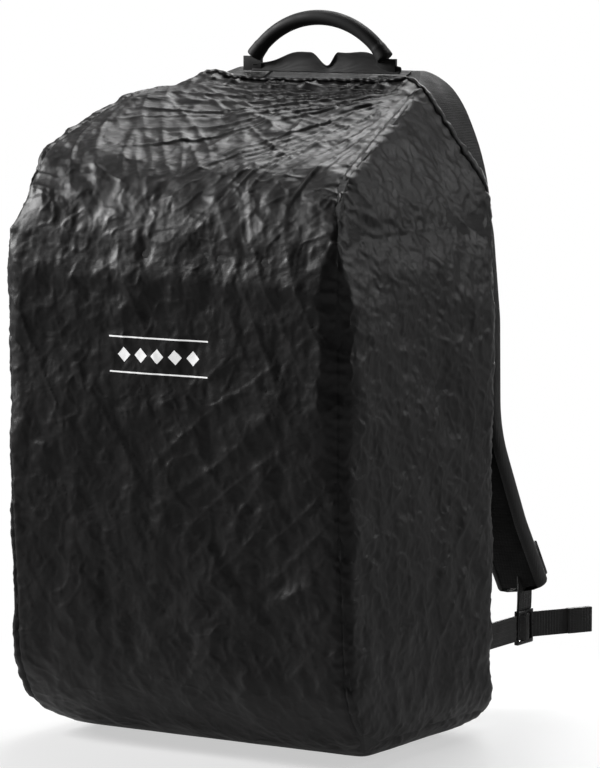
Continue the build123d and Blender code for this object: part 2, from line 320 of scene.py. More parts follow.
class Surface:
    """A Principled material built up from a colour range, a roughness range and layers of bump."""
    made = {}

    def __init__(self, name, dark, light, roughness, specular=0.5, metallic=0.0, tone_scale=30):
        Surface.made[name] = self
        self.material = bpy.data.materials.new("look_" + name)
        self.material.use_nodes = True
        self.nodes = self.material.node_tree.nodes
        self.links = self.material.node_tree.links
        self.shader = self.nodes["Principled BSDF"]
        self.shader.inputs["Specular IOR Level"].default_value = specular
        self.shader.inputs["Metallic"].default_value = metallic
        self.place = self.nodes.new("ShaderNodeTexCoord").outputs["Object"]
        tone = self.noise(tone_scale, 4)
        self.color = self.ramp(tone, dark, light)
        self.links.new(self.color, self.shader.inputs["Base Color"])
        gloss = self.ramp(self.noise(tone_scale * 2.3, 3), (roughness[0],) * 3, (roughness[1],) * 3)
        self.links.new(gloss, self.shader.inputs["Roughness"])
        self.normal = None

    def add(self, kind, links=None, values=None):
        return add_node(self.material.node_tree, kind, links, values)

    def noise_node(self, scale, detail, roughness, stretch):
        mapping = self.add("Mapping", {"Vector": self.place}, {"Scale": stretch})
        values = {"Scale": scale, "Detail": detail, "Roughness": roughness}
        return self.add("TexNoise", {"Vector": mapping.outputs["Vector"]}, values)

    def noise(self, scale, detail=3.0, roughness=0.5, stretch=(1, 1, 1)):
        return self.noise_node(scale, detail, roughness, stretch).outputs["Fac"]

    def crinkle(self, scale, detail=5.0, stretch=(1, 1, 1)):
        """Noise with thin sharp ridges, for small creases."""
        node = self.noise_node(scale, detail, 0.45, stretch)
        node.noise_type = "RIDGED_MULTIFRACTAL"
        node.normalize = False
        node.inputs["Distortion"].default_value = 0.25
        return node.outputs["Fac"]

    def ramp(self, socket, low, high, start=0.3, end=0.7):
        node = self.nodes.new("ShaderNodeValToRGB")
        first, last = node.color_ramp.elements
        first.position, first.color = start, (*low, 1)
        last.position, last.color = end, (*high, 1)
        self.links.new(socket, node.inputs["Fac"])
        return node.outputs["Color"]

    def wave(self, axis, pitch):
        node = self.add("TexWave", {"Vector": self.place}, {"Scale": 0.314 / pitch, "Distortion": 0.4})
        node.bands_direction = axis
        return node.outputs["Fac"]

    def cells(self, size):
        values = {"Scale": 1 / size, "Randomness": 0.25}
        return self.add("TexVoronoi", {"Vector": self.place}, values).outputs["Distance"]

    def math(self, operation, first, second):
        node = self.nodes.new("ShaderNodeMath")
        node.operation = operation
        for socket, value in zip(node.inputs, (first, second)):
            if isinstance(value, (int, float)):
                socket.default_value = value
            else:
                self.links.new(value, socket)
        return node.outputs["Value"]

    def bump(self, socket, depth, strength=1.0):
        node = self.add("Bump", {"Height": socket}, {"Strength": strength, "Distance": depth})
        if self.normal is not None:
            self.links.new(self.normal, node.inputs["Normal"])
        self.normal = node.outputs["Normal"]
        self.links.new(self.normal, self.shader.inputs["Normal"])
        return self

    def weave(self, pitch, depth):
        for axis in "XYZ":
            self.bump(self.wave(axis, pitch), depth)
        return self

    def sheen(self, weight):
        self.shader.inputs["Sheen Weight"].default_value = weight
        self.shader.inputs["Sheen Roughness"].default_value = 0.4
        return self

    def mixed(self, factor, first, second):
        """The first colour where factor is 0 and the second where it is 1; either may be a socket."""
        node = self.add("Mix", {"Factor": factor})
        node.data_type = "RGBA"
        for place, value in ((MIX_FIRST, first), (MIX_SECOND, second)):
            if isinstance(value, tuple):
                node.inputs[place].default_value = value
            else:
                self.links.new(value, node.inputs[place])
        return node.outputs[MIX_RESULT]


def seam_groove_shade(surface):
    """Painted shade: darkens the cloth's colour in the narrow groove of a seam, where shade falls, from the
    piece's own seam_gap values.
    """
    gap = surface.add("Attribute")
    gap.attribute_name = "seam_gap"
    values = {"From Min": 0.45, "From Max": 1.0, "To Min": 0.04}
    shade = surface.add("MapRange", {"Value": gap.outputs["Fac"]}, values)
    # painted shade: the darkness of the seam's groove is put into the base colour
    surface.color = surface.mixed(shade.outputs["Result"], (0.0004, 0.0004, 0.0004, 1), surface.color)


def printed_mark(surface):
    """White print on the front panel: two rules with a row of diamonds between them, with a painted glow of
    emission that makes the print brighter than the lamps light it.
    """
    x, y, z = surface.add("SeparateXYZ", {"Vector": surface.place}).outputs

    def distance(socket, centre):
        return surface.math("ABSOLUTE", surface.math("SUBTRACT", socket, centre), 0)

    def near(socket, centre, half):
        return surface.math("LESS_THAN", distance(socket, centre), half)

    def both(first, second):
        return surface.math("MULTIPLY", first, second)

    mark = None
    for rule_z in (PRINT_Z - PRINT_HALF_HEIGHT, PRINT_Z + PRINT_HALF_HEIGHT):
        rule = both(near(x, PRINT_X, PRINT_HALF_WIDTH), near(z, rule_z, PRINT_RULE / 2))
        mark = rule if mark is None else surface.math("MAXIMUM", mark, rule)
    rise = distance(z, PRINT_Z)
    for number in range(PRINT_DIAMONDS):
        centre = PRINT_X + (number - (PRINT_DIAMONDS - 1) / 2) * PRINT_PITCH
        reach = surface.math("ADD", distance(x, centre), rise)
        diamond = surface.math("LESS_THAN", reach, PRINT_DIAMOND)
        mark = surface.math("MAXIMUM", mark, diamond)
    mark = both(mark, surface.math("LESS_THAN", y, PRINT_FRONT_Y))
    printed = surface.mixed(mark, surface.color, (0.9, 0.9, 0.9, 1))
    # painted light: the print glows by emission, as though it were lit more brightly than it is
    surface.shader.inputs["Emission Color"].default_value = WHITE
    surface.links.new(both(mark, PRINT_PAINTED_GLOW), surface.shader.inputs["Emission Strength"])
    surface.links.new(printed, surface.shader.inputs["Base Color"])


def make_materials():
    black, warm = (0.006, 0.0058, 0.006), (0.016, 0.0152, 0.0156)
    nylon = Surface("cover_nylon", (0.0065, 0.006, 0.0061), (0.011, 0.01, 0.0102), (0.38, 0.5),
                    specular=0.4, tone_scale=14)
    nylon.bump(nylon.crinkle(26, 3), 2.4 * MM).bump(nylon.crinkle(42, 3, (1, 1, 0.3)), 1.5 * MM)
    nylon.bump(nylon.crinkle(95, 3), 0.9 * MM)
    nylon.bump(nylon.noise(420, 4, 0.62), 0.2 * MM, 0.5)
    nylon.weave(0.55 * MM, 0.012 * MM)
    # painted shade along the seam grooves
    seam_groove_shade(nylon)
    printed_mark(nylon)
    fabric = Surface("pack_fabric", black, warm, (0.62, 0.8), tone_scale=22)
    fabric.weave(0.9 * MM, 0.09 * MM).bump(fabric.noise(70, 4), 0.5 * MM, 0.5).sheen(0.08)
    mesh = Surface("harness_mesh", (0.005, 0.005, 0.005), (0.013, 0.0128, 0.0126), (0.75, 0.9),
                   specular=0.3)
    mesh.bump(mesh.cells(2.4 * MM), 0.55 * MM, 0.9).bump(mesh.noise(500, 2), 0.1 * MM).sheen(0.1)
    webbing = Surface("webbing", (0.007, 0.0068, 0.0066), (0.019, 0.0183, 0.0178), (0.45, 0.62))
    webbing.weave(1.3 * MM, 0.16 * MM).bump(webbing.noise(900, 2), 0.08 * MM).sheen(0.1)
    binding = Surface("edge_binding", (0.009, 0.0088, 0.0086), (0.02, 0.0195, 0.019), (0.4, 0.55))
    binding.weave(0.8 * MM, 0.1 * MM).bump(binding.noise(160, 3), 0.2 * MM)
    lining = Surface("divider_fabric", (0.11, 0.115, 0.125), (0.16, 0.165, 0.175), (0.88, 0.97),
                     specular=0.2)
    lining.bump(lining.noise(900, 5, 0.7), 0.35 * MM).bump(lining.noise(60, 3), 0.6 * MM, 0.4).sheen(0.35)
    plastic = Surface("buckle_plastic", black, (0.014, 0.0136, 0.0134), (0.2, 0.36), tone_scale=60)
    plastic.bump(plastic.noise(1400, 3), 0.03 * MM, 0.6)
    rubber = Surface("grip_rubber", (0.007, 0.0068, 0.007), (0.012, 0.0117, 0.0119), (0.56, 0.68),
                     specular=0.35, tone_scale=45)
    rubber.bump(rubber.noise(1100, 4, 0.7), 0.07 * MM, 0.8)
    board = Surface("frame_plastic", (0.02, 0.021, 0.022), (0.034, 0.035, 0.036), (0.4, 0.58))
    board.bump(board.noise(300, 4), 0.12 * MM, 0.6)
    stay = Surface("stay_metal", (0.5, 0.51, 0.52), (0.62, 0.63, 0.64), (0.26, 0.42), metallic=1.0)
    stay.bump(stay.noise(900, 3, 0.5, (1, 1, 0.03)), 0.05 * MM, 0.7)
    coil = Surface("zip_coil", (0.008, 0.008, 0.008), (0.018, 0.018, 0.018), (0.35, 0.5))
    coil.weave(1.5 * MM, 0.35 * MM)
    metal = Surface("zip_metal", (0.16, 0.16, 0.165), (0.26, 0.26, 0.265), (0.24, 0.4),
                    metallic=1.0, tone_scale=80)
    metal.bump(metal.noise(1200, 3), 0.03 * MM, 0.6)
    thread = Surface("thread", (0.02, 0.0195, 0.019), (0.035, 0.034, 0.033), (0.45, 0.6))
    thread.bump(thread.noise(2500, 2), 0.05 * MM)
    return {name: surface.material for name, surface in Surface.made.items()}


def finish_piece(obj, body, slot, material=None):
    """Shades the piece smooth, gives it its material and makes it ride on its body."""
    obj.data.materials.clear()
    obj.data.materials.append(MATERIALS[material or slot])
    obj.data.polygons.foreach_set("use_smooth", [True] * len(obj.data.polygons))
    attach(obj, body)
    return obj


def body_holding(node):
    bodies = frame["record"]["behaviour"]["bodies"]
    return next(name for name, members in bodies.items() if node in members)


# ---------------------------------------------------------------- rain cover

def cover_solid():
    """Closed convex form of the cover, from its CAD panels."""
    mesh = bmesh.new()
    for node in ("cover_front", "cover_base", "cover_gusset_left", "cover_gusset_right", "cover_hem"):
        for v in frame["nodes"][node].data.vertices:
            mesh.verts.new(v.co)
    hull = bmesh.ops.convex_hull(mesh, input=mesh.verts)
    loose = set(hull["geom_interior"] + hull["geom_unused"])
    bmesh.ops.delete(mesh, geom=[g for g in loose if isinstance(g, bmesh.types.BMVert)], context="VERTS")
    data = bpy.data.meshes.new("cover_form")
    mesh.to_mesh(data)
    mesh.free()
    return link(bpy.data.objects.new("cover_form", data))


def hem_depth(co):
    """Metres in front of the cover's rear opening, negative behind it."""
    x, y, z = np.abs(co[:, 0]), co[:, 1], co[:, 2]
    dx = x - (HEM_HALF_OPENING - HEM_CORNER)
    dz = (HEM_LOW + HEM_CORNER) - z
    outside = np.hypot(np.maximum(dx, 0), np.maximum(dz, 0)) + np.minimum(np.maximum(dx, dz), 0)
    window = np.maximum(outside - HEM_CORNER, HEM_BACK_Y - y)
    below = np.clip((HEM_CREST_TOP_Z - z) / (HEM_CREST_TOP_Z - HEM_CREST_FOOT_Z), 0, 1)
    crest = np.maximum(HEM_CREST_Y + below * HEM_CREST_LEAN - y, HEM_CREST_FOOT_Z - z)
    return np.minimum(window, crest)


def hem_run(co):
    """Metres along the hem, near enough: the turn about the opening's middle times its mean reach."""
    return np.arctan2(co[:, 2] - OPENING_CENTRE_Z, co[:, 0]) * HEM_REACH


def seam_side(co):
    """Metres outwards past the side seams, negative on the front and top panel."""
    z = co[:, 2]
    edge = np.where(z < TAPER_START, SEAM_HALF, SEAM_HALF - (z - TAPER_START) * TAPER_LEAN)
    return (np.abs(co[:, 0]) - edge) * np.where(z < TAPER_START, 1, 0.935)


def open_rear(obj):
    """Takes away the cloth behind the hem and evens out the edge that is left."""
    behind = hem_depth(coords(obj)) < 0
    with edited(obj) as mesh:
        mesh.verts.ensure_lookup_table()
        bmesh.ops.delete(mesh, geom=[v for v in mesh.verts if behind[v.index]], context="VERTS")
        for _ in range(10):
            edge = [v for v in mesh.verts if v.is_boundary]
            moved = {}
            for v in edge:
                ends = [e.other_vert(v).co for e in v.link_edges if e.is_boundary]
                if len(ends) == 2:
                    moved[v] = (ends[0] + ends[1]) * 0.3 + v.co * 0.4
            for v, place in moved.items():
                v.co = place


def cut_at_seams(obj):
    """Cuts edge loops into the mesh along the two side seams and the base seam."""
    cuts = [((0, 0, BASE_SEAM), (0, 0, 1), 0, BASE_SEAM, 0)]
    for side in (-1, 1):
        cuts.append(((side * SEAM_HALF, 0, 0), (side, 0, 0), -1, TAPER_START, side))
        cuts.append(((side * SEAM_HALF, 0, TAPER_START), (side, 0, TAPER_LEAN), TAPER_START, 1, side))
    with edited(obj) as mesh:
        for point, normal, low, high, side in cuts:
            near = [f for f in mesh.faces if low - 0.02 < f.calc_center_median().z < high + 0.02
                    and (side == 0 or f.calc_center_median().x * side > 0)]
            edges = {e for f in near for e in f.edges}
            verts = {v for f in near for v in f.verts}
            bmesh.ops.bisect_plane(mesh, geom=list(verts) + list(edges) + near, dist=0.6 * MM,
                                   plane_co=point, plane_no=normal)


def slack_shoulder(rest):
    """How far the slack cloth stands out over the pack's left shoulder, in metres."""
    z, y = rest[:, 2], rest[:, 1]
    rise = rise_mm(392, 455, z) * rise_mm(520, 476, z)
    front = rise_mm(100, 20, y)
    edge = rise_mm(20, 100, -rest[:, 0])
    return SLACK * rise * front * edge


def crumple(rest):
    """Height in metres of the cover's creases at rest points: flat facets with crisp folds between them."""
    seed = CREASE_SEED
    height = 1.5 * MM * smooth_noise(rest, 85 * MM, seed)
    height += 1.3 * MM * crease_field(rest, 46 * MM, seed + 1)
    height += 1.15 * MM * crease_field(rest, 23 * MM, seed + 2)
    height += 0.7 * MM * crease_field(rest, 12 * MM, seed + 3)
    height += 0.28 * MM * crease_field(rest, 6.5 * MM, seed + 4)
    patch = step(-0.3, 0.3, smooth_noise(rest, 60 * MM, seed + 5))
    height += (0.35 + 0.65 * patch) * 0.55 * MM * ridges(rest, 21 * MM, seed + 6) ** 7
    height += (1 - 0.5 * patch) * 0.34 * MM * ridges(rest, 10 * MM, seed + 8) ** 6
    return height


def streaks(across, along, scale, seed, stretch=0.16):
    """Long uneven folds from 0 to 1 that run the way that along grows."""
    points = np.stack([across, along * stretch, np.zeros(len(across))], -1)
    return ridges(points, scale, seed, 0.35) ** 2.5


def tension_folds(rest):
    """Long folds that fan down and across from the pack's upper corners, and diagonal ones lower down."""
    seed = CREASE_SEED + 20
    x, y, z = rest[:, 0], rest[:, 1], rest[:, 2]
    inside = step(0.0, 20 * MM, -seam_side(rest))
    total = np.zeros(len(rest))
    for side, strength in ((1, 1.0), (-1, 0.45)):
        corner = np.array([side * 112 * MM, 74 * MM, 490 * MM])
        away = corner - rest
        down = away[:, 2] + away[:, 1] * 0.75
        reach = np.hypot(away[:, 0], down)
        turn = np.arctan2(away[:, 0] * side, down)
        fade = rise_mm(20, 60, reach) * rise_mm(340, 150, reach)
        fade *= 0.12 + 0.88 * rise_mm(398, 432, z + away[:, 0] * side * -0.12)
        total += strength * 2.0 * MM * streaks(turn * 190 * MM, reach, 17 * MM, seed, 0.1) * fade
    low = streaks(x * 0.62 - z * 0.78, x * 0.78 + z * 0.62, 26 * MM, seed + 1)
    where = rise_mm(-60, 40, x) * rise_mm(330, 240, z)
    total += 0.8 * MM * low * (0.3 + 0.7 * where)
    total += 0.6 * MM * streaks(x * 0.9 + z * 0.44, z * 0.9 - x * 0.44, 34 * MM, seed + 2)
    total *= inside
    outside = step(0.0, 20 * MM, seam_side(rest))
    rear = 0.35 + 0.65 * rise_mm(-60, 90, y)
    drape = 2.6 * MM * streaks(y * 0.8 - z * 0.6, y * 0.6 + z * 0.8, 27 * MM, seed + 3) * rear
    drape += 1.2 * MM * streaks(y * 0.97 + z * 0.2, z * 0.97 - y * 0.2, 38 * MM, seed + 4)
    return total + drape * outside


def pocket_edges(rest):
    """Soft steps where the pack's front pocket shows through the cloth."""
    z = rest[:, 2]
    front = rise_mm(-60, -95, rest[:, 1]) * rise_mm(140, 120, np.abs(rest[:, 0]))
    lip = np.exp(-((z - 352 * MM) / (9 * MM)) ** 2)
    hollow = np.exp(-((z - 372 * MM) / (8 * MM)) ** 2)
    return 1.5 * MM * (lip - 0.7 * hollow) * front


def corner_ears(rest):
    """The slack corners of the cover beside the brow, pinched out with a hollow under them."""
    total = np.zeros(len(rest))
    ear, dent = ((141, -64, 418), (22, 26, 20)), ((136, -84, 404), (16, 14, 34))
    for side, strength in ((-1, 1.0), (1, 0.35)):
        for (place, spread), height in ((ear, 7 * MM), (dent, -5.5 * MM)):
            centre = np.array([side * place[0] * MM, place[1] * MM, place[2] * MM])
            away = np.linalg.norm((rest - centre) / np.array(spread), axis=1)
            total += strength * height * np.exp(-(away / MM) ** 2)
    return total


def seam_pucker(rest, gap):
    """Short wrinkles that run away from a stitched seam, and the dip and rolled edge of the seam itself."""
    run = rest[:, 2] + rest[:, 1] * 0.45
    wobble = smooth_noise(rest, 12 * MM, CREASE_SEED + 8)
    swell = 0.6 + 0.4 * smooth_noise(rest, 9 * MM, CREASE_SEED + 9)
    wave = np.sin(run / (1.5 * MM) + wobble * 3.4) * swell
    near = np.exp(-(gap / (9 * MM)) ** 2)
    dip = np.exp(-(gap / (1.3 * MM)) ** 2)
    roll = np.exp(-((gap - 4 * MM) / (2.4 * MM)) ** 2)
    return 0.36 * MM * wave * near - 1.1 * MM * dip + 0.1 * MM * roll


def hem_gathers(rest):
    """Pleats that the elastic hem draws up, fading away from it."""
    depth = np.maximum(hem_depth(rest), 0)
    wander = smooth_noise(rest, 16 * MM, CREASE_SEED + 30)
    run = hem_run(rest)
    pleat = np.sin(run / (1.5 * MM) + wander * 4.0) + 0.7 * np.sin(run / (3.3 * MM) + wander * 5)
    swell = 0.6 + 0.4 * smooth_noise(rest, 26 * MM, CREASE_SEED + 32)
    crest = rise_mm(470, 485, rest[:, 2])
    across = rest[:, 0] * 0.8 - rest[:, 2] * 0.6
    folds = 2.0 * MM * streaks(across, rest[:, 0], 17 * MM, CREASE_SEED + 33, 0.4)
    drawn = 0.85 * MM * pleat * swell * np.exp(-depth / (13 * MM))
    near = rise_mm(26, 10, depth) * step(0, 5 * MM, depth)
    return drawn * (1 - 0.8 * crest) + folds * crest * near


def crest_lift(rest):
    """How far the cloth stands up in front of the carry handle, in metres."""
    depth = hem_depth(rest)
    across = rise_mm(118, 38, np.abs(rest[:, 0])) * rise_mm(455, 475, rest[:, 2])
    ragged = 0.8 + 0.2 * smooth_noise(rest, 30 * MM, CREASE_SEED + 31)
    beside_handle = step(HANDLE_CLEARANCE, 1.35 * HANDLE_CLEARANCE, np.abs(rest[:, 0]))
    return CREST_RISE * rise_mm(15, 1, depth) * across * ragged * beside_handle


def split_piece(source, keep, name):
    """A copy of source with only the faces marked to keep."""
    obj = link(bpy.data.objects.new(name, source.data.copy()))
    with edited(obj) as mesh:
        bmesh.ops.delete(mesh, geom=[f for f, k in zip(mesh.faces, keep) if not k], context="FACES")
    obj.data.name = name
    return obj


def boundary_path(obj):
    """The longest open edge of the mesh as a closed ring of points with their normals."""
    mesh = bmesh.new()
    mesh.from_mesh(obj.data)
    mesh.normal_update()
    left = {e for e in mesh.edges if e.is_boundary}
    best = []
    while left:
        edge = left.pop()
        ring = [edge.verts[0], edge.verts[1]]
        while True:
            onward = [e for e in ring[-1].link_edges if e in left]
            if not onward:
                break
            left.discard(onward[0])
            ring.append(onward[0].other_vert(ring[-1]))
        if len(ring) > len(best):
            best = ring
    points = np.array([v.co for v in best[:-1]])
    outward = np.array([v.normal for v in best[:-1]])
    mesh.free()
    return points, outward


def smooth_ring(values, passes):
    for _ in range(passes):
        values = values * 0.5 + (np.roll(values, 1, 0) + np.roll(values, -1, 0)) * 0.25
    return values


def ring_tube(name, points, outward, section):
    """Closed tube along a ring of points; section(k) gives point k's profile as (across, outward)."""
    ahead = np.roll(points, -1, 0) - np.roll(points, 1, 0)
    ahead /= np.linalg.norm(ahead, axis=1)[:, None]
    outward = outward / np.linalg.norm(outward, axis=1)[:, None]
    across = np.cross(ahead, outward)
    verts, faces = [], []
    count = len(points)
    for k in range(count):
        profile = section(k)
        for a, b in profile:
            verts.append(points[k] + across[k] * a + outward[k] * b)
    size = len(profile)
    for k in range(count):
        for m in range(size):
            a, b = k * size + m, k * size + (m + 1) % size
            c, d = ((k + 1) % count) * size + (m + 1) % size, ((k + 1) % count) * size + m
            faces.append((a, b, c, d))
    return mesh_object(name, verts, faces)


def make_hem(cloth):
    """The rolled hem with its elastic inside, gathered into tucks all the way round."""
    points, outward = boundary_path(cloth)
    points = smooth_ring(points, 14)
    outward = smooth_ring(outward, 30)
    run = np.concatenate([[0], np.cumsum(np.linalg.norm(np.diff(points, axis=0), axis=1))])
    tuck = np.sin(run / (1.15 * MM) + 2.2 * smooth_noise(points, 10 * MM, 41))
    swell = 1 + 0.09 * tuck + 0.2 * smooth_noise(points, 18 * MM, 42)

    corners = np.linspace(0, 2 * np.pi, 12, endpoint=False)

    def section(k):
        return [(HEM_HALF_WIDTH * swell[k] * np.cos(t), HEM_HALF_THICKNESS * swell[k] * np.sin(t) + 0.4 * MM)
                for t in corners]

    hem = ring_tube("cover_elastic_hem", points, outward, section)
    subdivide(hem, 1)
    mark_seam(hem, np.full(len(hem.data.vertices), HEM_SEAM_GAP))
    return finish_piece(hem, "pack", "cover_nylon")


def make_cover():
    """The cover: one cloth form, opened at the back, creased, and cut along its seams into four panels."""
    form = voxel(cover_solid(), CLOTH_CELL)
    cloth = link(bpy.data.objects.new("cover_cloth", form.data.copy()))
    bpy.data.objects.remove(form)
    open_rear(cloth)
    cut_at_seams(cloth)
    subdivide(cloth, 2)
    rest = coords(cloth)
    gap = np.abs(seam_side(rest))
    free = step(0, 14 * MM, hem_depth(rest)) * rise_mm(1, 12, rest[:, 2])
    height = (crumple(rest) + tension_folds(rest) + pocket_edges(rest) + corner_ears(rest)) * free
    height += seam_pucker(rest, gap) + hem_gathers(rest)
    moved = rest + normals(cloth) * height[:, None]
    moved[:, 2] += crest_lift(rest) + 0.35 * slack_shoulder(rest)
    moved[:, 0] -= slack_shoulder(rest)
    moved[:, 2] = np.maximum(moved[:, 2], FLOOR_GAP)
    set_coords(cloth, moved)
    mark_seam(cloth, gap / MM)
    hem = make_hem(cloth)
    sides = mesh_rest_centres(cloth, rest)
    outward = seam_side(sides) > 0
    panels = {
        "cover_front_panel": ~outward & (sides[:, 2] > BASE_SEAM),
        "cover_base_panel": ~outward & (sides[:, 2] <= BASE_SEAM),
        "cover_left_gusset": outward & (sides[:, 0] < 0),
        "cover_right_gusset": outward & (sides[:, 0] > 0),
    }
    pieces = {name: finish_piece(split_piece(cloth, keep, name), "pack", "cover_nylon")
              for name, keep in panels.items()}
    bpy.data.objects.remove(cloth)
    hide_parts("cover_front")
    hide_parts("cover_base")
    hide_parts("cover_gusset_left")
    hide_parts("cover_gusset_right")
    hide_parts("cover_hem")


def mesh_rest_centres(obj, rest):
    """Face centres worked out from other vertex places than the mesh's own."""
    corners = rest[read(obj.data.loops, "vertex_index")]
    starts = read(obj.data.polygons, "loop_start")
    totals = read(obj.data.polygons, "loop_total")
    return np.add.reduceat(corners, starts, axis=0) / totals[:, None]


# ---------------------------------------------------------------- padded pieces

def copy_node(node, name):
    return link(bpy.data.objects.new(name, frame["nodes"][node].data.copy()))


def make_pad(name, node, body, slot, cap, pressure=4.0, inset=1.4 * MM, cell=4.5 * MM):
    """Foam pad: the CAD form, drawn in, remeshed and swollen a little by cloth pressure."""
    pad = copy_node(node, name)
    with edited(pad) as mesh:
        bmesh.ops.remove_doubles(mesh, verts=mesh.verts, dist=0.01 * MM)
    voxel(pad, cell)
    start = coords(pad) - normals(pad) * inset
    set_coords(pad, start)
    cloth = pad.modifiers.new("swell", "CLOTH")
    cloth.settings.quality = 5
    cloth.settings.use_pressure = True
    cloth.settings.uniform_pressure_force = pressure
    cloth.settings.effector_weights.gravity = 0
    cloth.collision_settings.use_self_collision = False
    scene = bpy.context.scene
    for number in range(1, PAD_FRAMES + 1):
        scene.frame_set(number)
    apply_modifiers(pad)
    scene.frame_set(1)
    move = coords(pad) - start
    reach = np.linalg.norm(move, axis=1)
    limit = np.minimum(reach, cap)
    set_coords(pad, start + move * (limit / np.maximum(reach, 1e-9))[:, None])
    subdivide(pad, 1)
    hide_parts(node)
    finish_piece(pad, body, slot)
    return pad


def press_channels(pad, low_y, lines):
    """Sews channels into a back pad's outer face: each line is (axis, place along it, depth)."""
    co = coords(pad)
    outer = step(low_y + 5 * MM, low_y + 9 * MM, co[:, 1])
    drop = np.zeros(len(co))
    for axis, place, depth in lines:
        drop = np.maximum(drop, depth * np.exp(-((co[:, axis] - place) / (2.6 * MM)) ** 2))
    co[:, 1] -= drop * outer
    set_coords(pad, co)


def back_padding():
    for side_name, _ in SIDES:
        node = f"back_pad_{side_name}"
        pad = make_pad(f"back_cushion_{side_name}", node, "door", "harness_mesh", 4 * MM)
        low, high = box(node)
        rows = [(2, low[2] + (high[2] - low[2]) * part, 4.5 * MM) for part in (0.27, 0.5, 0.73)]
        press_channels(pad, low[1], rows)
    pad = make_pad("lumbar_cushion", "lumbar_pad", "door", "harness_mesh", 4 * MM)
    low, _ = box("lumbar_pad")
    press_channels(pad, low[1], [(0, x, 4.5 * MM) for x in (-28 * MM, 28 * MM)])
    make_pad("shoulder_yoke", "yoke", "door", "harness_mesh", 2 * MM, inset=1.0 * MM, cell=3.5 * MM)


# ---------------------------------------------------------------- shoulder straps

def rounded_route(points, radii, spacing):
    """Points along straight runs joined by tangent arcs, in the plane, about spacing apart."""
    route = [np.array(points[0])]
    for corner, before, after, radius in zip(points[1:-1], points[:-2], points[2:], radii):
        corner, before, after = (np.array(p) for p in (corner, before, after))
        come = (corner - before) / np.linalg.norm(corner - before)
        go = (after - corner) / np.linalg.norm(after - corner)
        turn = math.acos(np.clip(come @ go, -1, 1))
        cut = radius * math.tan(turn / 2)
        inward = (go - come) / np.linalg.norm(go - come)
        centre = corner + inward * radius / math.cos(turn / 2)
        first = corner - come * cut
        steps = max(2, int(radius * turn / spacing))
        for k in range(steps + 1):
            angle = turn * k / steps
            start = first - centre
            side = come * radius
            route.append(centre + start * math.cos(angle) + side * math.sin(angle))
    route.append(np.array(points[-1]))
    even = [route[0]]
    for a, b in zip(route[:-1], route[1:]):
        count = max(1, int(round(np.linalg.norm(b - a) / spacing)))
        even.extend(a + (b - a) * k / count for k in range(1, count + 1))
    return np.array(even)


def strap_point(side, x, y, z):
    """A point of a strap drawn in the middle plane, moved to the strap's own place."""
    turn = -side * STRAP_SPLAY
    up = z - STRAP_PIVOT[1]
    return (x * math.cos(turn) + up * math.sin(turn) + side * STRAP_TOP_X, y,
            -x * math.sin(turn) + up * math.cos(turn) + STRAP_PIVOT[1])


def strap_half_width(z):
    part = np.clip((300 * MM - z) / (160 * MM), 0, 1)
    return (STRAP_TOP_WIDTH + (STRAP_LOW_WIDTH - STRAP_TOP_WIDTH) * part) / 2


def strap_binding(side_name, side):
    """Woven tape folded over the strap pad's edge, down one side, round the lower end and up the other."""
    line = rounded_route(STRAP_LINE, STRAP_RADII, 4 * MM)[3:]
    ahead = np.gradient(line, axis=0)
    ahead /= np.linalg.norm(ahead, axis=1)[:, None]
    thick = np.stack([-ahead[:, 1], ahead[:, 0]], -1)
    lap, half = BINDING_LAP, STRAP_T / 2 + 0.7 * MM
    profile = [(-lap, half), (-lap * 0.5, half + 0.25 * MM), (-0.6 * MM, half - 0.4 * MM),
               (0.9 * MM, half * 0.5), (1.2 * MM, 0), (0.9 * MM, -half * 0.5),
               (-0.6 * MM, -half + 0.4 * MM), (-lap * 0.5, -half - 0.25 * MM), (-lap, -half),
               (-lap, -half + 0.9 * MM), (-0.8 * MM, -half * 0.5), (-0.5 * MM, 0),
               (-0.8 * MM, half * 0.5), (-lap, half - 0.9 * MM)]
    verts = []
    for edge in (-1, 1):
        order = range(len(line)) if edge < 0 else reversed(range(len(line)))
        for k in order:
            width = strap_half_width(line[k][1])
            for out, up in profile:
                y, z = line[k] + thick[k] * up
                verts.append(strap_point(side, edge * (width + out), y, z))
    faces = sweep_faces(len(line) * 2, len(profile), mirrored=True)
    tape = mesh_object(f"strap_binding_{side_name}", verts, faces)
    subdivide(tape, 1)
    return finish_piece(tape, f"strap_{side_name}", "webbing", "edge_binding")


def shoulder_straps():
    for side_name, side in SIDES:
        body = f"strap_{side_name}"
        make_pad(f"strap_cushion_{side_name}", f"strap_pad_{side_name}", body, "harness_mesh", 1.6 * MM,
                 pressure=3.0, inset=0.7 * MM, cell=4 * MM)
        strap_binding(side_name, side)


# ---------------------------------------------------------------- softened hard parts

def soften(node, name, width, material=None):
    """The CAD form with its tessellation cleaned up and every edge rounded over."""
    piece = copy_node(node, name)
    with edited(piece) as mesh:
        bmesh.ops.remove_doubles(mesh, verts=mesh.verts, dist=0.005 * MM)
        bmesh.ops.dissolve_limit(mesh, angle_limit=math.radians(1.0), verts=mesh.verts, edges=mesh.edges)
    bevel = piece.modifiers.new("round", "BEVEL")
    bevel.width = width
    bevel.segments = 3
    bevel.limit_method = "ANGLE"
    bevel.angle_limit = math.radians(35)
    bevel.harden_normals = False
    bevel.use_clamp_overlap = True
    flat = piece.modifiers.new("normals", "WEIGHTED_NORMAL")
    flat.keep_sharp = True
    apply_modifiers(piece)
    finish_piece(piece, body_holding(node), SLOTS[node], material)
    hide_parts(node)


